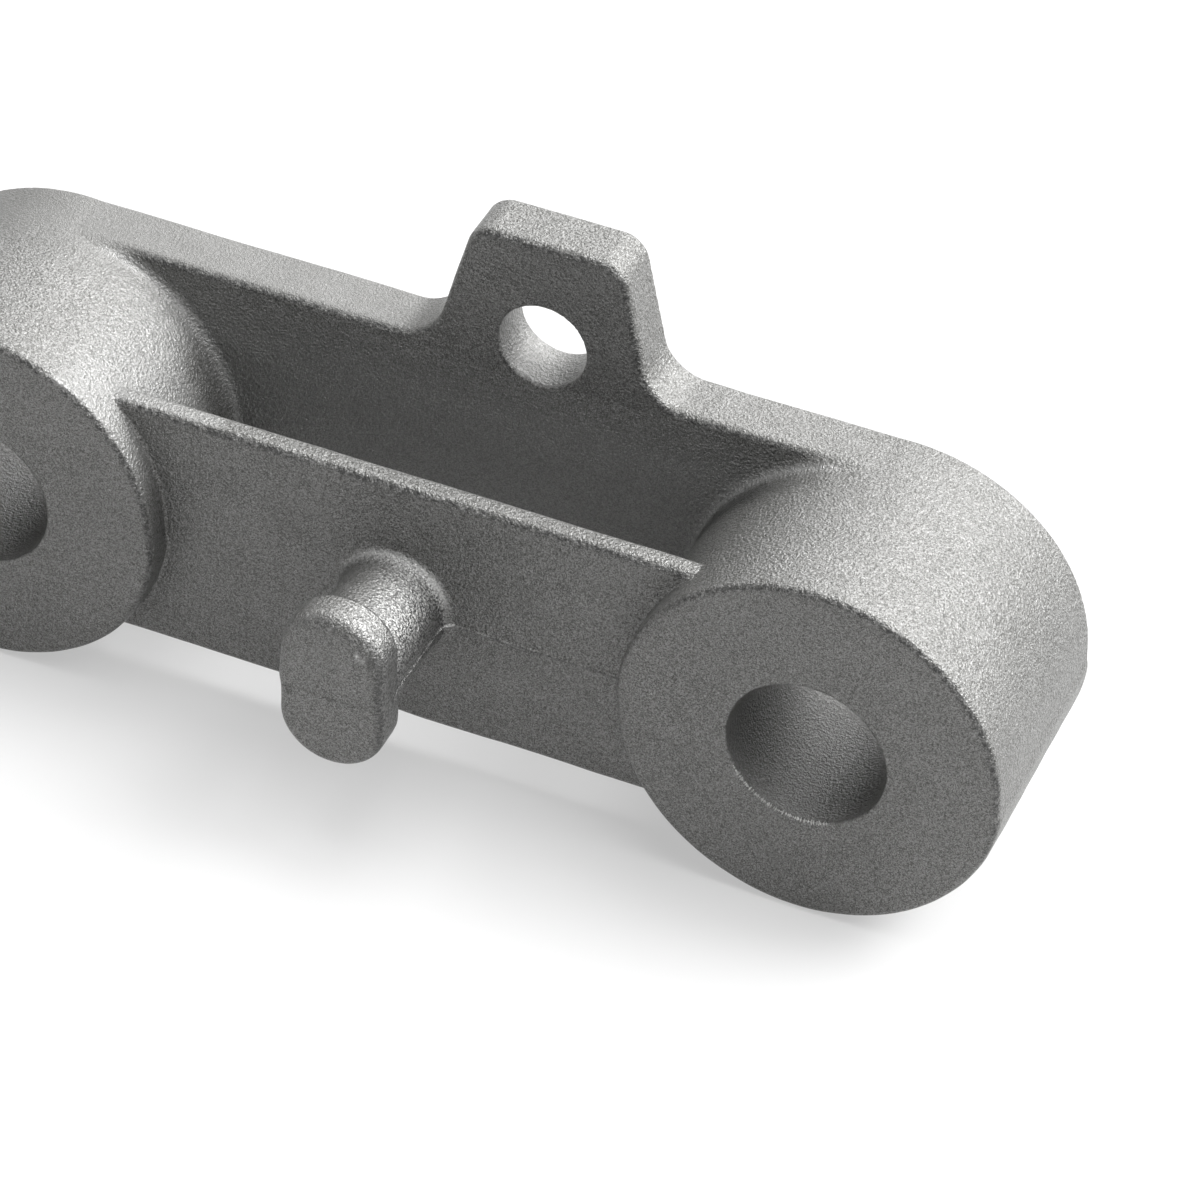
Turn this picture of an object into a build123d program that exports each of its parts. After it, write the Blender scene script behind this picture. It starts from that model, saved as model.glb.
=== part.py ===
from build123d import *
import os
from math import hypot, radians, tan

# Exhaust tailpipe bracket, one steel casting. Millimetres.
# X runs from bore to bore, -Y faces the front (the stub's side), +Z is up (the tab's side).
# The origin is midway between the two bores, on their axis plane, on the flat back face.

# Bosses, one at each end
boss_d = 30.0
boss_len = 19.7
bore_d = 12.4
centres = 67.6

# Back wall, flush with the back of the bosses and a hair lower than they are
back_wall_t = 4.7
back_wall_drop = 0.05

# Front wall, set back from the front of the bosses and lower than they are
front_wall_t = 2.0
front_wall_h = 21.8
front_setback = 2.7

# Tab on top of the back wall, off centre, with its hole above the wall's top
tab_offset = 5.7
tab_w = 17.6
tab_h = 11.3
tab_taper_deg = 14.0
tab_corner_r = 2.2
tab_root_r = 3.5
tab_hole_d = 7.0
tab_hole_h = 2.25

# Stub on the front wall: a round stem, and an upright oblong head a little wider than the stem
stem_d = 8.2
stem_root_r = 1.0
head_w = 8.4
head_h = 13.85
head_t = 3.0
head_edge_r = 0.8
stub_reach = 9.1

# The mould parts in a level plane just below the bore axes, and the walls taper away from it
draft_deg = 1.0
parting_drop = 0.5

# Radii of the casting's corners and edges, and the chamfers left where it was drilled and faced
wall_fillet_r = 1.0
edge_r = 0.6
rim_r = 0.6
bore_chamfer = 0.3
back_chamfer = 0.3

# Places that follow from the sizes
boss_r = boss_d / 2
boss_x = centres / 2
stem_r = stem_d / 2
back_top = boss_r - back_wall_drop
tab_top = back_top + tab_h
front_y = front_setback - boss_len
front_top = front_wall_h / 2
tip_y = -boss_len - stub_reach
draft = tan(radians(draft_deg))
near = 0.01


def drafted_face(y_edge, z_edge, low, high, outward):
    """Points (y, z) of a wall face that is at y_edge at z_edge and bulges outward to the parting plane."""
    rise = z_edge + parting_drop
    heights = (low, -parting_drop, high)
    return [(y_edge + outward * draft * (rise - abs(z + parting_drop)), z) for z in heights]


def joins_boss(edge):
    """Whether an edge lies on a boss's side, towards the middle of the bracket."""
    point = edge @ 0.5
    gap = hypot(abs(point.X) - boss_x, point.Z) - boss_r
    return abs(point.X) < boss_x and abs(gap) < near


def joins_stem(edge):
    """Whether an edge runs round the stem."""
    point = edge @ 0.5
    return edge.geom_type != GeomType.LINE and abs(hypot(point.X, point.Z) - stem_r) < near


os.makedirs("parts", exist_ok=True)

with BuildPart() as bracket:
    # Back wall and tab: the wall's section run along the bracket, then cut to the outline seen from the front
    with BuildSketch(Plane.YZ):
        Polygon(
            *drafted_face(-back_wall_t, back_top, -back_top, tab_top, -1),
            (0, tab_top),
            (0, -back_top),
            align=None,
        )
    extrude(amount=boss_x, both=True)
    with BuildSketch(Plane.XZ) as outline:
        Rectangle(centres, 2 * back_top)
        with Locations((tab_offset, back_top + tab_h / 2)):
            Trapezoid(tab_w, tab_h, 90 - tab_taper_deg)
        corners = outline.vertices().filter_by_position(Axis.X, -boss_x + near, boss_x - near)
        fillet(corners.filter_by_position(Axis.Y, tab_top - near, tab_top + near), tab_corner_r)
        roots = outline.vertices().filter_by_position(Axis.X, -boss_x + near, boss_x - near)
        fillet(roots.filter_by_position(Axis.Y, back_top - near, back_top + near), tab_root_r)
    extrude(amount=boss_len, mode=Mode.INTERSECT)
    front_edges = bracket.edges().filter_by_position(Axis.Y, -boss_len, -0.75 * back_wall_t)
    top_edges = front_edges.filter_by_position(Axis.Z, back_top - near, tab_top + near)
    bottom_edges = front_edges.filter_by_position(Axis.Z, -back_top - near, -back_top + near)
    fillet(top_edges + bottom_edges, edge_r)

    # Front wall: the same taper on both faces, with rounded top and bottom edges
    with BuildSketch(Plane.YZ) as front_section:
        Polygon(
            *drafted_face(front_y, front_top, -front_top, front_top, -1),
            *reversed(drafted_face(front_y + front_wall_t, front_top, -front_top, front_top, 1)),
            align=None,
        )
        levels = front_section.vertices().group_by(Axis.Y)
        fillet(levels[0] + levels[-1], edge_r)
    extrude(amount=boss_x, both=True)

    # Bosses, and the fillets where both walls run into them; the pocket between the walls stays open
    with BuildSketch(Plane.XZ):
        with PolarLocations(boss_x, 2):
            Circle(boss_r)
    extrude(amount=boss_len)
    wall_ends = bracket.edges().filter_by(joins_boss)
    fillet(wall_ends.filter_by_position(Axis.Y, near - boss_len, -0.75 * back_wall_t), wall_fillet_r)

    # Stub: stem and root fillet, then the oblong head at its tip
    with BuildSketch(Plane.XZ.offset(-front_y)):
        Circle(stem_r)
    extrude(amount=front_y - tip_y)
    root = bracket.edges().filter_by(joins_stem).filter_by_position(Axis.Y, -boss_len, 0)
    fillet(root, stem_root_r)
    with BuildSketch(Plane.XZ.offset(-tip_y)):
        SlotOverall(head_h, head_w, rotation=90)
    extrude(amount=-head_t)
    fillet(bracket.faces().sort_by(Axis.Y)[0].edges(), head_edge_r)

    # Bores through the bosses, and the hole through the tab
    with BuildSketch(Plane.XZ):
        with PolarLocations(boss_x, 2):
            Circle(bore_d / 2)
        with Locations((tab_offset, back_top + tab_hole_h)):
            Circle(tab_hole_d / 2)
    extrude(amount=boss_len, mode=Mode.SUBTRACT)

    # Boss rims are rounded; the bores and the outline of the faced back are chamfered
    boss_faces = bracket.faces().filter_by_position(Axis.Y, -boss_len - near, -boss_len + near)
    fillet([face.outer_wire().edges() for face in boss_faces], rim_r)
    bore_rims = bracket.edges().filter_by_position(Axis.Y, -boss_len - near, -boss_len + near)
    chamfer(bore_rims.filter_by(lambda edge: edge.radius < bore_d / 2 + near), bore_chamfer)
    chamfer(bracket.faces().sort_by(Axis.Y)[-1].outer_wire().edges(), back_chamfer)

bracket.part.label = "bracket_casting"
export_step(bracket.part, "parts/bracket_casting.step")
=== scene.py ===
"""Exhaust tailpipe bracket: one blasted steel casting with two bored bosses, two walls, a tab and a stub."""

from math import cos, radians, sin, tan

import bpy
import numpy as np
from mathutils import Matrix, Vector


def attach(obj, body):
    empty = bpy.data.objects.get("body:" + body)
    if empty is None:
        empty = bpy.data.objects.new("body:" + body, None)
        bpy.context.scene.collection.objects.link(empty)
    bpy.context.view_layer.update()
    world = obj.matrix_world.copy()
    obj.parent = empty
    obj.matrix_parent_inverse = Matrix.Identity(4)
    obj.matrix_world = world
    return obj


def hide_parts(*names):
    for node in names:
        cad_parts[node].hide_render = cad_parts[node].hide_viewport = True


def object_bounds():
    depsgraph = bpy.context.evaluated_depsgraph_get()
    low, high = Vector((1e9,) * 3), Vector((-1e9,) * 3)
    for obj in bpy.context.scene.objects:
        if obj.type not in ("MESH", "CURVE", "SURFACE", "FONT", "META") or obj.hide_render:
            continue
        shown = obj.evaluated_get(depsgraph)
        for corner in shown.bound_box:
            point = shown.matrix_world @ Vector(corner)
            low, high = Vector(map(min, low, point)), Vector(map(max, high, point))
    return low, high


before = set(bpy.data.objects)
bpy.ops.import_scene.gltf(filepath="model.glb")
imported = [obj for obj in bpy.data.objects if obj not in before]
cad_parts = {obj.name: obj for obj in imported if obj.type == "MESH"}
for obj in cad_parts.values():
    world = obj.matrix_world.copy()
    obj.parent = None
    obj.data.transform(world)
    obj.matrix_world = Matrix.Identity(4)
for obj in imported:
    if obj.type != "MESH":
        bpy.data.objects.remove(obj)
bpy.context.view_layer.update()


# The casting: one steel piece poured in a two-part mould and shot blasted all over, so every inner corner is
# a fillet and every edge is softened. Two bored bosses, joined by a tall back wall with a holed tab and by a
# thin low front wall with a stub. All sizes in this section are in millimetres, and MM is one in metres.

MM = 0.001
BOSS_R, BOSS_LEN, BOSS_X, BORE_R = 15.0, 19.7, 33.8, 6.2
BACK_WALL_Y, BACK_WALL_TOP = -4.7, 14.95
FRONT_WALL_Y, FRONT_WALL_T, FRONT_WALL_TOP = -17.0, 2.0, 10.9
TAB_X, TAB_HALF_W, TAB_TOP, TAB_SLOPE, TAB_COSINE = 5.7, 8.8, 26.25, tan(radians(14)), 0.970
TAB_HOLE_R, TAB_HOLE_Z = 3.5, 17.2
STEM_R, HEAD_R, HEAD_HALF_H, HEAD_T, TIP_Y = 4.1, 4.2, 6.925, 3.0, -28.8
HEAD_BACK_Y = TIP_Y + HEAD_T

# The mould: where its halves part, how much the walls lean, and how far one half slipped to each side
PARTING_Z, DRAFT, MOULD_SLIP = -0.5, tan(radians(1)), 0.1

# Fillets of the inner corners, then radii of the outer edges
WALL_FILLET, STEM_FILLET, TAB_FILLET, THIN_WALL_CREASE, HEAD_CREASE = 1.0, 1.0, 2.65, 0.1, 0.05
BOSS_EDGE, WALL_EDGE, TAB_CORNER, BORE_EDGE, BACK_EDGE = 0.6, 0.7, 1.67, 0.2, 0.3
HEAD_EDGE, HEAD_TOP_EXTRA, HEAD_BACK_EDGE = 0.75, 0.6, 0.15

# How far from the stem's axis the finish counts as the stub's
STUB_ZONE_R = 7.5

# Unevenness of the skin, as (height, length) of its waves. Then the parting ridge's height and half width,
# and how far the front wall's lower half stands proud there.
LONG_WAVES, SHORT_WAVES = (0.014, 11), (0.006, 2.6)
RIDGE_HEIGHT, RIDGE_WIDTH, WALL_STEP = 0.07, 0.08, 0.04

# The knock on the left boss's front rim: a dent and the lip it raised. Each is a bell curve with a
# (centre, width) for x, y and z.
KNOCK_DEPTH, KNOCK = 0.45, ((-26.9, 0.8), (-19.6, 0.35), (13.7, 0.35))
LIP_HEIGHT, LIP = 0.28, ((-26.2, 0.7), (-19.6, 0.3), (13.1, 0.3))

# Shallow pits on the head's face, as (x, z, size): bell curves 0.8 sizes deep and 1.5 sizes wide
HEAD_PITS = [
    (-2.6, 3.6, 0.16), (-1.9, 4.4, 0.2), (-0.9, 4.9, 0.18), (-0.1, 5.1, 0.15), (0.9, 5.0, 0.13),
    (1.7, 4.5, 0.17), (2.5, 3.7, 0.15), (-1.5, -0.1, 0.14), (-3.2, -0.7, 0.15), (-3.0, -3.2, 0.16),
    (2.6, -4.7, 0.18), (0.4, 2.4, 0.12), (1.4, -2.2, 0.12),
]

# Spots rubbed bare, on the knock and at the top right of the head, as (x, y, z, radius)
BARE_SPOTS = [
    (-26.7, -19.7, 13.5, 0.3), (-26.3, -19.7, 13.2, 0.35), (-25.9, -19.7, 12.9, 0.3),
    (2.1, -28.8, 4.3, 0.2), (2.5, -28.6, 4.0, 0.2),
]


def joined(a, b, r):
    """Distance from two solids joined by a fillet of radius r: the greater of r and the lesser distance,
    less the hypotenuse of how far each distance falls short of r."""
    return np.maximum(r, np.minimum(a, b)) - np.hypot(np.maximum(r - a, 0), np.maximum(r - b, 0))


def shared(a, b, r):
    """Distance from what two solids share, with their common edge rounded to radius r: the same formula,
    with every distance negated."""
    return -joined(-a, -b, r)


def ramp(value, start, end):
    """A straight rise from 0 at start to 1 at end, level beyond both. It falls where end is below start."""
    return np.clip((value - start) / (end - start), 0, 1)


def bell(*terms):
    """Bell curve of (value, centre, width) terms: e to minus the sum of squared (value - centre) / width."""
    return np.exp(-sum(((value - centre) / width) ** 2 for value, centre, width in terms))


def ripple(x, y, z, length, seed):
    """Slow unevenness of a cast skin: the sum of twelve plane waves of about that length, in fixed random
    directions, divided by the root of six, so that its mean square is 1."""
    rng = np.random.default_rng(seed)
    total = 0
    for direction in rng.normal(size=(12, 3)):
        kx, ky, kz = direction / np.linalg.norm(direction) * 2 * np.pi / (length * rng.uniform(0.7, 1.4))
        total = total + np.sin(kx * x + ky * y + kz * z + rng.uniform(0, 6.28))
    return total / 6**0.5


def slip(z, blend):
    """Sideways slip of the mould halves: MOULD_SLIP times the tanh of (z - PARTING_Z) / blend."""
    return MOULD_SLIP * np.tanh((z - PARTING_Z) / blend)


def parting_ridge(x, y, z):
    """Height of the worn ridge at the parting plane: a bell curve over z, ragged along the part. It stands on
    the front wall from the stub to the right boss, hardly shows on the stub's side, and is a groove on the
    head's face, towards its left."""
    ragged = np.clip(0.9 + 0.6 * ripple(x, y, 0, 1.6, 3), 0.25, 1.6) * ramp(x, 19, 18)
    ragged = ragged * np.where(y < -28, np.clip(1.3 - 0.3 * x, 0, 1), ramp(x, -0.4, 1.6))
    height = np.select([y < -28, y < -18.5, y < -16], [-1.1, 0.2, 1.2], 0)
    return RIDGE_HEIGHT * ragged * height * bell((z, PARTING_Z, RIDGE_WIDTH))


def casting_skin(x, y, z):
    """Distance of points from the casting's skin, negative inside the steel. Each feature is the greatest of
    its faces' distances, drafted walls lean by one degree from the parting plane, and fillets join them."""
    rise = np.abs(z - PARTING_Z)
    across = np.abs(x + slip(z, 0.4))
    boss = shared(np.hypot(across - BOSS_X, z) - BOSS_R, -BOSS_LEN - y, BOSS_EDGE)

    tab_side = np.abs(x + slip(z, 0.05) - TAB_X) - TAB_HALF_W + TAB_SLOPE * (z - BACK_WALL_TOP)
    tab = np.maximum(shared(TAB_COSINE * tab_side, z - TAB_TOP, TAB_CORNER), -z)
    outline = joined(np.maximum(np.abs(z) - BACK_WALL_TOP, across - BOSS_X), tab, TAB_FILLET)
    back_face = BACK_WALL_Y - DRAFT * (BACK_WALL_TOP - PARTING_Z - rise) - y
    back_wall = shared(joined(back_face, boss, WALL_FILLET), outline, WALL_EDGE)

    lean = DRAFT * (FRONT_WALL_TOP - PARTING_Z - rise)
    proud = WALL_STEP * np.tanh((PARTING_Z - z) / 0.05) * ramp(x, 0, 2)
    front_faces = np.maximum(FRONT_WALL_Y - lean - proud - y, y - FRONT_WALL_Y - FRONT_WALL_T - lean)
    front_edges = np.maximum(np.abs(z) - FRONT_WALL_TOP, across - BOSS_X)
    front_wall = shared(joined(front_faces, boss, THIN_WALL_CREASE), front_edges, WALL_EDGE)

    stem = np.maximum(np.hypot(x + slip(z, 0.3), z) - STEM_R, y - FRONT_WALL_Y - 1)
    stem = np.maximum(stem, TIP_Y + 1 - y)
    oblong = np.hypot(x + slip(z, 0.5), np.maximum(np.abs(z) - HEAD_HALF_H + HEAD_R, 0)) - HEAD_R
    head = shared(oblong, TIP_Y - y, HEAD_EDGE + HEAD_TOP_EXTRA * ramp(z, 0, 5))
    head = shared(head, y - HEAD_BACK_Y, HEAD_BACK_EDGE)
    stub = joined(stem, head, HEAD_CREASE)

    body = np.minimum(boss, np.minimum(back_wall, joined(front_wall, stub, STEM_FILLET)))
    for seed, (height, length) in ((1, LONG_WAVES), (2, SHORT_WAVES)):
        body = body + height * ripple(x, y, z, length, seed)
    body = body - parting_ridge(x, y, z)
    for height, place in ((KNOCK_DEPTH, KNOCK), (-LIP_HEIGHT, LIP)):
        body = body + height * bell(*((value, *term) for value, term in zip((x, y, z), place)))
    for pit_x, pit_z, size in HEAD_PITS:
        body = body + 0.8 * size * bell((x, pit_x, 1.5 * size), (z, pit_z, 1.5 * size), (y, TIP_Y, 0.8))

    bore = np.hypot(np.abs(x) - BOSS_X, z) - BORE_R
    tab_hole = np.hypot(x - TAB_X, z - TAB_HOLE_Z) - TAB_HOLE_R
    body = shared(shared(body, -bore, BORE_EDGE), -tab_hole, BORE_EDGE)
    return shared(body, y, BACK_EDGE)


def slope(distance, points, reach=0.02):
    """Unit direction in which a distance grows fastest, from central differences along each axis."""
    gradient = np.empty_like(points)
    for axis in range(3):
        move = np.zeros(3)
        move[axis] = reach
        gradient[:, axis] = distance(*(points + move).T) - distance(*(points - move).T)
    return gradient / np.maximum(np.linalg.norm(gradient, axis=1, keepdims=True), 1e-9)


def shaded_edge(points, normal, reach=0.25):
    """How much painted shade a point gets on the front half of an upper or right outer edge, from 0 to 1: how
    fast the skin falls away from the tangent plane on four sides, times how far the skin faces the front,
    times how far it also faces up and right. The bores' rims are left out. Painted shade also marks the foot
    of the front wall's ridge, by a bell curve over z."""
    side = np.cross(normal, [0.36, 0.48, 0.8])
    side /= np.maximum(np.linalg.norm(side, axis=1, keepdims=True), 1e-9)
    other = np.cross(normal, side)
    fall = sum(casting_skin(*(points + reach * way).T) for way in (side, -side, other, -other)) / reach**2
    x, y, z = points.T
    faces_front = ramp(-normal[:, 1], 0.4, 0.7) * ramp(normal @ [0.5, 0, 0.86], 0, 0.25)
    off_bore = ramp(np.hypot(np.abs(x) - BOSS_X, z) - BORE_R, 0.4, 0.7)
    off_ridge = np.where(y < -19.2, 1.0, ramp(np.abs(z - PARTING_Z), 0.4, 1.4))
    edge = np.clip(0.9 * fall - 0.2, 0, 1) * faces_front * off_bore * off_ridge
    on_wall = ramp(x, 4, 5) * ramp(x, 19.5, 18.5) * (y < FRONT_WALL_Y + 0.5) * (y > FRONT_WALL_Y - 1)
    return np.maximum(edge, 0.9 * on_wall * bell((z, PARTING_Z - 0.06, 0.1)))


def stem_root(points, normal):
    """How much a point lies on the fillet at the stem's root: a bell curve of its distance from the axis."""
    x, y, z = points.T
    on_fillet = (y < FRONT_WALL_Y - 0.05) & (y > FRONT_WALL_Y - 1.3)
    return bell((np.hypot(x, z), 4.7, 0.4)) * on_fillet * ramp(normal[:, 1], -0.97, -0.77)


def painted_light_and_shade(points, normal):
    """How much painted light the skin gets, up to 2, with painted shade as negative values down to -1.
    Painted
    light: the pocket's walls, the fillets where the back wall meets the bosses, the tab's hole, the stub's
    upper side and its root, and the left boss's shoulder before the thin wall. Painted shade: the bosses'
    sides in the pocket's back corners, the stub's right side, the crease behind the head, the upper right of
    the back wall and the left boss's side under the shoulder. Each is a product of straight ramps and bell
    curves."""
    x, y, z = points.T
    nx, ny, nz = normal.T
    from_boss = np.hypot(np.abs(x) - BOSS_X, z) - BOSS_R
    between = (np.abs(x) < BOSS_X) & (z < 14.6)
    on_stub = (y < FRONT_WALL_Y - 0.05) & (np.hypot(x, z) < STUB_ZONE_R)
    off_front = ramp(ny, -0.75, -0.35)

    off_boss = ramp(from_boss, 0.3, 0.7)
    pocket = ramp(z, 14, 10) * ramp(y, -15.6, -15.2) * ramp(y, -4.3, -4.6) * between
    pocket = pocket * np.where(x < 0, np.maximum(off_boss, ramp(z, 0, 4)), off_boss)
    fillet = 1.6 * between * bell((from_boss, 0.35, 0.3), (y, -5.2, 0.35))
    stub = ramp(nz, 0.25, 0.75) * ramp(nx, -0.35, 0.65) * off_front * on_stub
    stub = stub * np.where(y < HEAD_BACK_Y, np.clip(1.5 * nx - 0.2, 0.1, 1), 0.8)
    root = 2 * on_stub * ramp(nz, 0, 0.4) * ramp(nx, -0.5, 0.5) * stem_root(points, normal)
    shoulder = 0.8 * ramp(z, 4, 8) * ramp(z, 14.5, 12.5) * ramp(y, -15, -15.5)
    shoulder = shoulder * ramp(x, -29, -26) * (x < -15) * off_front
    hole = 0.5 * (np.hypot(x - TAB_X, z - TAB_HOLE_Z) < TAB_HOLE_R + 0.1)
    lighter = np.maximum.reduce([pocket, fillet, stub, root, shoulder, hole])

    corner = between * (np.abs(from_boss) < 0.25) * ramp(-np.sign(x) * nx, 0, 2 / 3)
    corner = corner * np.maximum(0.3, ramp(z, -5, -1)) * np.where(
        x < 0,
        1.2 * ramp(z, 10.5, 8) * bell((y, -7.2, 1.9)),
        0.8 * ramp(z, 14, 11) * bell((y, -6.7, 1.4)),
    )
    lee = 0.65 * on_stub * ramp(nx, 0.35, 0.75) * (y < -17.6)
    upper = 0.28 * ramp(z, 9, 12) * ramp(x, -5, 5) * (y > -5.6) * ramp(-ny, 0.7, 0.95) * (lighter == 0)
    under_shoulder = 0.3 * ramp(z, 5, 1) * (x < -17) * (from_boss > -0.3) * (y < -17.2) * (nx > 0.3)
    crease = 0.9 * on_stub * bell((y, HEAD_BACK_Y, 0.14)) * (z > -2)
    return np.where(crease > 0.3, -crease, lighter - corner - lee - upper - under_shoulder)


def smoothness(points, normal):
    """How smooth the blasting has left the skin, from 1, with no dimples, to -1, leathery. It is fairly
    smooth in the bores and on the tops of the back wall and the left boss, and leathery round the stub,
    most of all on its right. Each is a product of straight ramps."""
    x, y, z = points.T
    nx, ny, nz = normal.T
    bore = 0.5 * (np.hypot(np.abs(x) - BOSS_X, z) < BORE_R + 0.1)
    top = ramp(z, 10, 13) * ramp(y, -10, -4) * ramp(nz, 0.5, 0.75) * (z < 20)
    top = top * np.clip(0.4 - x / 40, 0.15, 0.65)
    stub = ramp(y, -17.1, -17.5) * (np.hypot(x, z) < STUB_ZONE_R) * ramp(ny, -0.8, -0.5)
    stub = stub * np.clip(0.45 + nx, 0.25, 1) * np.where(y < HEAD_BACK_Y, 0.6, 1)
    return bore + top - stub


def bareness_and_highlight(points, normal):
    """How bare the skin is worn, from 0 to 1: a round spot at each place in BARE_SPOTS, fading outward by a
    bell curve, and a painted highlight on the upper right of the fillet at the stem's root."""
    root = stem_root(points, normal) * ramp(normal[:, 2], 0, 1 / 3) * ramp(points[:, 2], 0.6, 2.1)
    root = root * ramp(normal[:, 0], -0.75, 0.25)
    spots = sum(np.exp(-(((points - spot[:3]) / spot[3]) ** 2).sum(1)) for spot in np.array(BARE_SPOTS))
    return (root + spots).clip(0, 1)


def levels(low, high, step, fine):
    """Grid levels from low to high, step apart, and five times closer within each (low, high) of fine."""
    every = [np.arange(low, high, step)]
    keep = np.ones(len(every[0]), bool)
    for start, end in fine:
        keep &= (every[0] < start - step / 3) | (every[0] > end + step / 3)
        every.append(np.arange(start, end + 1e-6, step / 5))
    every[0] = every[0][keep]
    return np.sort(np.concatenate(every))


def skin_mesh(distance, xs, ys, zs):
    """The skin where a distance is zero, as quads. Wherever a grid edge crosses the skin, the four cells
    round that edge share a quad. Each cell's corner is the point nearest to all the tangent planes at its
    crossings, then it is drawn onto the skin along the slope."""
    axes = (xs, ys, zs)
    value = distance(xs[:, None, None], ys[None, :, None], zs[None, None, :])
    inside = value < 0
    crossings, quads = [], []
    cell_shape = [len(a) - 1 for a in axes]
    for axis in range(3):
        near, far = [slice(None)] * 3, [slice(None)] * 3
        near[axis], far[axis] = slice(0, -1), slice(1, None)
        start = np.argwhere(inside[tuple(near)] != inside[tuple(far)])
        end = start.copy()
        end[:, axis] += 1
        v0, v1 = value[tuple(start.T)], value[tuple(end.T)]
        point = np.stack([axes[i][start[:, i]] for i in range(3)], 1)
        point[:, axis] += v0 / (v0 - v1) * (axes[axis][end[:, axis]] - point[:, axis])
        crossings.append(point)
        ring = np.repeat(start[:, None, :], 4, 1)
        ring[:, 1:3, (axis + 1) % 3] -= 1
        ring[:, 2:4, (axis + 2) % 3] -= 1
        ids = np.ravel_multi_index(tuple(np.moveaxis(ring, 2, 0)), cell_shape)
        quads.append(np.where((v0 < 0)[:, None], ids, ids[:, ::-1]))
    crossings, quads = np.concatenate(crossings), np.concatenate(quads)
    cells, corner = np.unique(quads, return_inverse=True)
    corner = corner.reshape(quads.shape)

    normal = slope(distance, crossings)
    count = len(cells)
    which = corner.ravel()
    repeat = np.repeat(np.arange(len(crossings)), 4)

    def gather(values):
        return np.bincount(which, weights=values[repeat], minlength=count)

    number = gather(np.ones(len(crossings)))
    centre = np.stack([gather(crossings[:, i]) / number for i in range(3)], 1)
    offset = (normal * crossings).sum(1)
    planes = np.empty((count, 3, 3))
    pull = np.empty((count, 3))
    for i in range(3):
        pull[:, i] = gather(normal[:, i] * offset) / number
        for j in range(i, 3):
            planes[:, i, j] = planes[:, j, i] = gather(normal[:, i] * normal[:, j]) / number
    hold = 0.03
    planes += hold * np.eye(3)
    points = np.linalg.solve(planes, (pull + hold * centre)[:, :, None])[:, :, 0]
    place = np.stack(np.unravel_index(cells, cell_shape), 1)
    low = np.stack([axes[i][place[:, i]] for i in range(3)], 1)
    high = np.stack([axes[i][place[:, i] + 1] for i in range(3)], 1)
    return drawn_onto(distance, np.clip(points, low, high), 3), corner


def drawn_onto(distance, points, times):
    """Points moved onto the skin: each time, against the slope by the distance there."""
    for _ in range(times):
        points = points - slope(distance, points) * distance(*points.T)[:, None]
    return points


def thinned(points, quads, triangles):
    """The skin with its flat parts merged into larger faces, to that many triangles: its mesh and points."""
    fine = bpy.data.meshes.new("fine_skin")
    fine.from_pydata(points, [], quads)
    holder = bpy.data.objects.new("fine_skin", fine)
    bpy.context.scene.collection.objects.link(holder)
    decimate = holder.modifiers.new("thin", "DECIMATE")
    decimate.ratio = min(1, triangles / (2 * len(quads)))
    thin = bpy.data.meshes.new_from_object(holder.evaluated_get(bpy.context.evaluated_depsgraph_get()))
    bpy.data.objects.remove(holder)
    bpy.data.meshes.remove(fine)
    places = np.empty(3 * len(thin.vertices))
    thin.vertices.foreach_get("co", places)
    return thin, places.reshape(-1, 3)


# Colours of the finish, painted light, painted shade and painted glints, as red, green, blue and alpha
DARK_GRAIN, LIGHT_GRAIN = (0.085, 0.0845, 0.079, 1), (0.285, 0.2845, 0.279, 1)
LEATHER_LOW, LEATHER_HIGH = (0.03, 0.03, 0.03, 1), (0.6, 0.6, 0.59, 1)
PATCH_LOW, PATCH_HIGH = (0.55, 0.55, 0.54, 1), (1.0, 1.0, 1.0, 1)
PAINTED_GLINT, PIT, SHADE = (0.5, 0.5, 0.49, 1), (0.1, 0.1, 0.1, 1), (0.02, 0.02, 0.02, 1)
PAINTED_LIGHT, BARE_AND_HIGHLIGHT = (0.42, 0.42, 0.415, 1), (0.72, 0.72, 0.71, 1)


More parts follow.
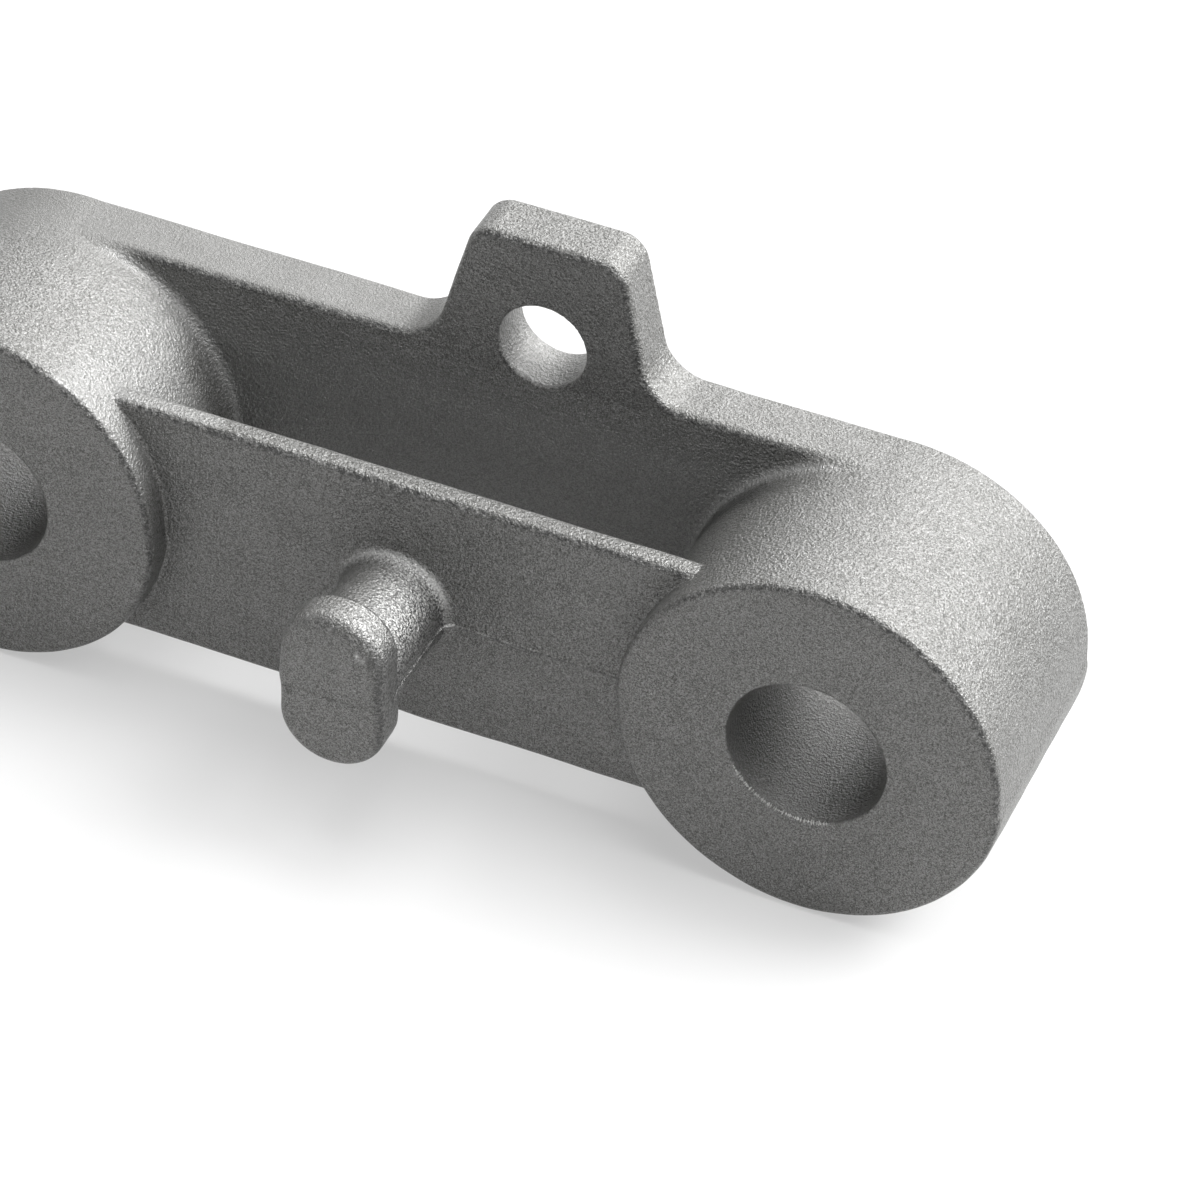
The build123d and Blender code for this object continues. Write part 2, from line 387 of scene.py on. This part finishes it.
def shot_blasted_steel(name, dark, light):
    """Grey cast steel after shot blasting: grains a tenth of a millimetre across over dimples of a quarter, a
    satin sheen, faint lighter and darker patches, small painted glints and a few dark pits. The piece's
    attributes say where it gets painted light and painted shade, where it is smooth or leathery, and where it
    is worn bare, with a painted highlight at the stem's root."""
    material = bpy.data.materials.new(name)
    material.use_nodes = True
    nodes, links = material.node_tree.nodes, material.node_tree.links
    shader = nodes["Principled BSDF"]
    shader.inputs["Metallic"].default_value = 0.5
    where = nodes.new("ShaderNodeTexCoord").outputs["Object"]

    def noise(per_metre, detail, rough=0.5):
        node = nodes.new("ShaderNodeTexNoise")
        node.inputs["Scale"].default_value = per_metre
        node.inputs["Detail"].default_value = detail
        node.inputs["Roughness"].default_value = rough
        links.new(where, node.inputs["Vector"])
        return node.outputs["Fac"]

    def cells(per_metre):
        node = nodes.new("ShaderNodeTexVoronoi")
        node.inputs["Scale"].default_value = per_metre
        links.new(where, node.inputs["Vector"])
        return node.outputs

    def kept(attribute):
        node = nodes.new("ShaderNodeAttribute")
        node.attribute_name = attribute
        return node.outputs["Fac"]

    def ranged(value, low, high, to_low, to_high):
        node = nodes.new("ShaderNodeMapRange")
        for socket, number in zip(("From Min", "From Max", "To Min", "To Max"), (low, high, to_low, to_high)):
            node.inputs[socket].default_value = number
        links.new(value, node.inputs["Value"])
        return node.outputs["Result"]

    def times(a, b):
        node = nodes.new("ShaderNodeMath")
        node.operation = "MULTIPLY"
        links.new(a, node.inputs[0])
        links.new(b, node.inputs[1])
        return node.outputs[0]

    def blend(mode, factor, a, b):
        node = nodes.new("ShaderNodeMix")
        node.data_type = "RGBA"
        node.blend_type = mode
        for socket, value in (("Factor", factor), ("A", a), ("B", b)):
            if isinstance(value, (float, tuple)):
                node.inputs[socket].default_value = value
            else:
                links.new(value, node.inputs[socket])
        return node.outputs["Result"]

    def bump(height, distance, normal=None):
        node = nodes.new("ShaderNodeBump")
        node.inputs["Distance"].default_value = distance
        links.new(height, node.inputs["Height"])
        if normal:
            links.new(normal, node.inputs["Normal"])
        return node.outputs["Normal"]

    grains = cells(11500)
    dimples = noise(4200, 1.5)
    leather = noise(6500, 1)
    patches = ranged(noise(170, 3, 0.6), 0.3, 0.7, 0.0, 1.0)
    pits = ranged(cells(130)["Distance"], 0.012, 0.022, 0.0, 1.0)
    # Small painted glints: sparse bright dots scattered over the skin
    painted_glints = ranged(cells(800)["Distance"], 0.03, 0.08, 0.5, 0.0)
    # Where the skin gets painted light and painted shade, and how smooth it is
    painted_light_level, smooth = kept("painted_light_and_shade"), kept("smoothness")
    # Painted shade along the upper and right outer edges, broken up by noise
    shade = times(kept("shaded_edge"), ranged(noise(2400, 2, 0.7), 0.4, 0.6, 0.1, 0.8))
    # Spots worn bare, and a painted highlight on the fillet at the stem's root
    rubbed_and_highlight = times(kept("bareness_and_highlight"), ranged(leather, 0.4, 0.6, 0.5, 1.0))

    middle = tuple((a + b) / 2 for a, b in zip(dark, light))
    tone = blend("MIX", ranged(grains["Color"], 0.2, 0.8, 0.0, 1.0), dark, light)
    tone = blend("MIX", ranged(smooth, 0.0, 1.0, 0.0, 1.0), tone, middle)
    leather_tone = blend("MIX", ranged(leather, 0.42, 0.58, 0.0, 1.0), LEATHER_LOW, LEATHER_HIGH)
    tone = blend("MIX", ranged(smooth, -1.0, 0.0, 0.7, 0.0), tone, leather_tone)
    tone = blend("MULTIPLY", 0.22, tone, blend("MIX", patches, PATCH_LOW, PATCH_HIGH))
    # Painted glints, dark pits, painted light and shade, painted shade on edges, then bare spots and painted
    # highlight
    tone = blend("MIX", painted_glints, tone, PAINTED_GLINT)
    tone = blend("MIX", pits, PIT, tone)
    # Painted light where that attribute is above 0, then painted shade where it is below 0
    tone = blend("MIX", ranged(painted_light_level, 0.0, 2.0, 0.0, 0.7), tone, PAINTED_LIGHT)
    tone = blend("MIX", ranged(painted_light_level, -1.0, 0.0, 0.8, 0.0), tone, SHADE)
    tone = blend("MIX", shade, tone, SHADE)
    tone = blend("MIX", rubbed_and_highlight, tone, BARE_AND_HIGHLIGHT)
    links.new(tone, shader.inputs["Base Color"])
    links.new(ranged(dimples, 0.3, 0.7, 0.46, 0.3), shader.inputs["Roughness"])
    dimple_height = times(dimples, ranged(smooth, 0.0, 1.0, 1.0, 0.0))
    grain_bump = bump(grains["Distance"], 0.00003)
    links.new(bump(dimple_height, 0.00015, grain_bump), shader.inputs["Normal"])
    return material


# The grid that the skin is found on, with closer levels at the bosses' front rims and the parting plane
GRID_X, GRID_Y, GRID_Z = (-49.6, 49.6), (-29.6, 0.8), (-15.7, 27.0)
RIM_BAND, PARTING_BAND, MOST_TRIANGLES = (-19.8, -19.2), (-0.74, -0.26), 190000

step = 0.28
skin_points, skin_quads = skin_mesh(
    casting_skin,
    levels(*GRID_X, step, []),
    levels(*GRID_Y, step, [RIM_BAND]),
    levels(*GRID_Z, step, [PARTING_BAND]),
)
skin, skin_points = thinned(skin_points, skin_quads, MOST_TRIANGLES)
skin_points = drawn_onto(casting_skin, skin_points, 2)
skin_normal = slope(casting_skin, skin_points)
skin.name = "casting_skin"
skin.vertices.foreach_set("co", (skin_points * MM).ravel())
skin.update()
skin.shade_smooth()
skin.normals_split_custom_set_from_vertices(skin_normal)
measures = {"shaded_edge": shaded_edge, "painted_light_and_shade": painted_light_and_shade, "smoothness": smoothness, "bareness_and_highlight": bareness_and_highlight}
for name, measure in measures.items():
    attribute = skin.attributes.new(name, "FLOAT", "POINT")
    attribute.data.foreach_set("value", measure(skin_points, skin_normal))
skin.materials.append(shot_blasted_steel("shot_blasted_steel", DARK_GRAIN, LIGHT_GRAIN))
casting = bpy.data.objects.new("casting", skin)
bpy.context.scene.collection.objects.link(casting)
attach(casting, "root")
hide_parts("bracket_casting")


# The burrs: hair-thin ragged ridges of the same steel, one left by the mould's joint along the stem's right
# side, and one turned up on the lower left lip of the right bore. Their steel is painted brighter than the
# skin, as broken metal and in part as a painted highlight for the light they catch. Blasting has worn them
# down to rows of grains.

# Brighter steel for the burrs, in part a painted highlight
broken_steel_and_highlight = shot_blasted_steel("broken_steel_and_highlight", (0.4, 0.4, 0.39, 1), (0.7, 0.7, 0.69, 1))
BURR_STATIONS, BURR_SIDES = 260, 8


def burr(name, centre, out, along, radius, seed, evenness):
    """A ragged bead round a path: at each station a circle in the plane of out and along, whose radius
    follows a sum of short waves and comes to nothing at both ends. Path arrays have one row per station."""
    rng = np.random.default_rng(seed)
    t = np.linspace(0, 1, BURR_STATIONS)
    waves = sum(
        np.sin(2 * np.pi * (f * t + rng.uniform())) for f in BURR_STATIONS * rng.uniform(0.05, 0.3, 6)
    ) / 6**0.5
    size = radius * np.clip(evenness + 0.9 * waves, 0.05, 1.5) * np.minimum(1, 12 * np.minimum(t, 1 - t))
    turn = np.linspace(0, 2 * np.pi, BURR_SIDES + 1)[:-1]
    ring = out[:, None] * np.cos(turn)[None, :, None] + along[:, None] * np.sin(turn)[None, :, None]
    points = centre[:, None] + size[:, None, None] * ring
    i, j = np.meshgrid(np.arange(BURR_STATIONS - 1) * BURR_SIDES, np.arange(BURR_SIDES), indexing="ij")
    k = (j + 1) % BURR_SIDES
    sides = np.stack([i + j, i + k, i + BURR_SIDES + k, i + BURR_SIDES + j], -1).reshape(-1, 4)
    first_end = np.arange(BURR_SIDES)[::-1]
    last_end = np.arange(BURR_SIDES) + (BURR_STATIONS - 1) * BURR_SIDES
    mesh = bpy.data.meshes.new(name)
    faces = [*sides.tolist(), first_end.tolist(), last_end.tolist()]
    mesh.from_pydata(points.reshape(-1, 3) * MM, [], faces)
    mesh.shade_smooth()
    mesh.materials.append(broken_steel_and_highlight)
    bead = bpy.data.objects.new(name, mesh)
    bpy.context.scene.collection.objects.link(bead)
    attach(bead, "root")


def same_way(x, y, z):
    """One direction for every station."""
    return np.tile([x, y, z], (BURR_STATIONS, 1))


# Round the bore's lower left, then along the stem from the head to the wall
lip_angle = np.radians(np.linspace(-152, -66, BURR_STATIONS))
lip_out = np.stack([np.cos(lip_angle), 0 * lip_angle, np.sin(lip_angle)], 1)
lip_centre = np.array([BOSS_X, -BOSS_LEN, 0]) + (BORE_R + 0.08) * lip_out
burr("lip_burr", lip_centre, lip_out, same_way(0.0, -1.0, 0.0), radius=0.13, seed=5, evenness=0.4)
seam_y = np.linspace(-28.0, -17.6, BURR_STATIONS)
seam_centre = np.stack([0 * seam_y + STEM_R - 0.01, seam_y, 0 * seam_y + PARTING_Z], 1)
seam_out, seam_along = same_way(1.0, 0.0, 0.0), same_way(0.0, 0.0, 1.0)
burr("seam_burr", seam_centre, seam_out, seam_along, radius=0.07, seed=6, evenness=-0.3)


# The floor: a large sheet of plain pale card at the height of the bosses' undersides. The camera and mirror
# reflections see it as near white with the bracket's soft shadow on it. It lights the bracket as mid grey.

FLOOR_HALF = 3.0
FLOOR_GREY, FLOOR_WHITE, FLOOR_GLOW = (0.4, 0.4, 0.4, 1), (0.36, 0.36, 0.36, 1), 0.46


def seen_directly(nodes, links):
    """1 for what the camera, a mirror reflection or a view through glass sees, 0 for the light that falls on
    things: the greatest of the three ray kinds."""
    path = nodes.new("ShaderNodeLightPath")
    seen = path.outputs["Is Camera Ray"]
    for ray in ("Is Glossy Ray", "Is Transmission Ray"):
        either = nodes.new("ShaderNodeMath")
        either.operation = "MAXIMUM"
        links.new(seen, either.inputs[0])
        links.new(path.outputs[ray], either.inputs[1])
        seen = either.outputs[0]
    return seen


floor_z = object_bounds()[0].z
floor_corners = [(FLOOR_HALF * x, FLOOR_HALF * y, floor_z) for x, y in ((-1, -1), (1, -1), (1, 1), (-1, 1))]
floor_mesh = bpy.data.meshes.new("floor")
floor_mesh.from_pydata(floor_corners, [], [(0, 1, 2, 3)])
floor = bpy.data.objects.new("floor", floor_mesh)
bpy.context.scene.collection.objects.link(floor)
card = bpy.data.materials.new("pale_card")
card.use_nodes = True
nodes, links = card.node_tree.nodes, card.node_tree.links
nodes.remove(nodes["Principled BSDF"])
grey, white = nodes.new("ShaderNodeBsdfDiffuse"), nodes.new("ShaderNodeBsdfDiffuse")
glow = nodes.new("ShaderNodeEmission")
grey.inputs["Color"].default_value = FLOOR_GREY
white.inputs["Color"].default_value = FLOOR_WHITE
glow.inputs["Strength"].default_value = FLOOR_GLOW
both, choice = nodes.new("ShaderNodeAddShader"), nodes.new("ShaderNodeMixShader")
links.new(white.outputs["BSDF"], both.inputs[0])
links.new(glow.outputs["Emission"], both.inputs[1])
links.new(seen_directly(nodes, links), choice.inputs["Fac"])
links.new(grey.outputs["BSDF"], choice.inputs[1])
links.new(both.outputs["Shader"], choice.inputs[2])
links.new(choice.outputs["Shader"], nodes["Material Output"].inputs["Surface"])
floor_mesh.materials.append(card)


# The light: ten square soft boxes two metres away. The strongest stand behind the bracket and to its right,
# two are overhead, and a low one behind lights the bores and the tab's hole. The surroundings add a weak even
# fill, and the camera and mirror reflections see them as white.

BOX_DISTANCE, BOX_SIZE = 2.0, 1.0
FILL, BACKDROP = 0.1, 1.0

# Direction from the bracket, as degrees clockwise from straight behind and degrees up, and power in watts
SOFT_BOXES = [
    (60, 50, 28), (60, 30, 15), (75, 42, 19), (0, 70, 17), (90, 50, 6),
    (120, 65, 8), (15, 30, 7), (35, 30, 7), (0, 88, 11), (-12, 17, 9),
]


def soft_box(name, towards, power):
    """A square lamp in a direction from the bracket, turned to face it."""
    lamp = bpy.data.lights.new(name, "AREA")
    lamp.size = BOX_SIZE
    lamp.energy = power
    box = bpy.data.objects.new(name, lamp)
    bpy.context.scene.collection.objects.link(box)
    box.location = towards.normalized() * BOX_DISTANCE
    box.rotation_euler = towards.to_track_quat("Z", "Y").to_euler()
    box.visible_camera = False


for number, (clockwise, up, power) in enumerate(SOFT_BOXES):
    turn, rise = radians(clockwise), radians(up)
    soft_box(f"soft_box_{number}", Vector((cos(rise) * sin(turn), cos(rise) * cos(turn), sin(rise))), power)

world = bpy.data.worlds.new("surroundings")
bpy.context.scene.world = world
world.use_nodes = True
nodes, links = world.node_tree.nodes, world.node_tree.links
sky = nodes["Background"]
sky.inputs["Color"].default_value = (1, 1, 1, 1)
level = nodes.new("ShaderNodeMapRange")
level.inputs["To Min"].default_value = FILL
level.inputs["To Max"].default_value = BACKDROP
links.new(seen_directly(nodes, links), level.inputs["Value"])
links.new(level.outputs["Result"], sky.inputs["Strength"])


# The camera: a long lens, high and to the right of the front, close enough to crop the left boss. It leans a
# little, and its place was worked out from the outlines in the photograph.

AZIMUTH, ELEVATION, ROLL = radians(20.37), radians(39.89), radians(3.805)
PLACE, LENS, SENSOR = Vector((0.135333, -0.337967, 0.292222)), 183.46, 36

across = Vector((cos(AZIMUTH), sin(AZIMUTH), 0))
ahead = Vector((-sin(AZIMUTH) * cos(ELEVATION), cos(AZIMUTH) * cos(ELEVATION), -sin(ELEVATION)))
upward = across.cross(ahead)
right = cos(ROLL) * across + sin(ROLL) * upward
top = -sin(ROLL) * across + cos(ROLL) * upward
lens = bpy.data.cameras.new("photo_view")
lens.sensor_width = SENSOR
lens.lens = LENS
viewpoint = bpy.data.objects.new("photo_view", lens)
bpy.context.scene.collection.objects.link(viewpoint)
viewpoint.matrix_world = Matrix.Translation(PLACE) @ Matrix((right, top, -ahead)).transposed().to_4x4()
bpy.context.scene.camera = viewpoint

bpy.context.scene.view_settings.view_transform = "Standard"
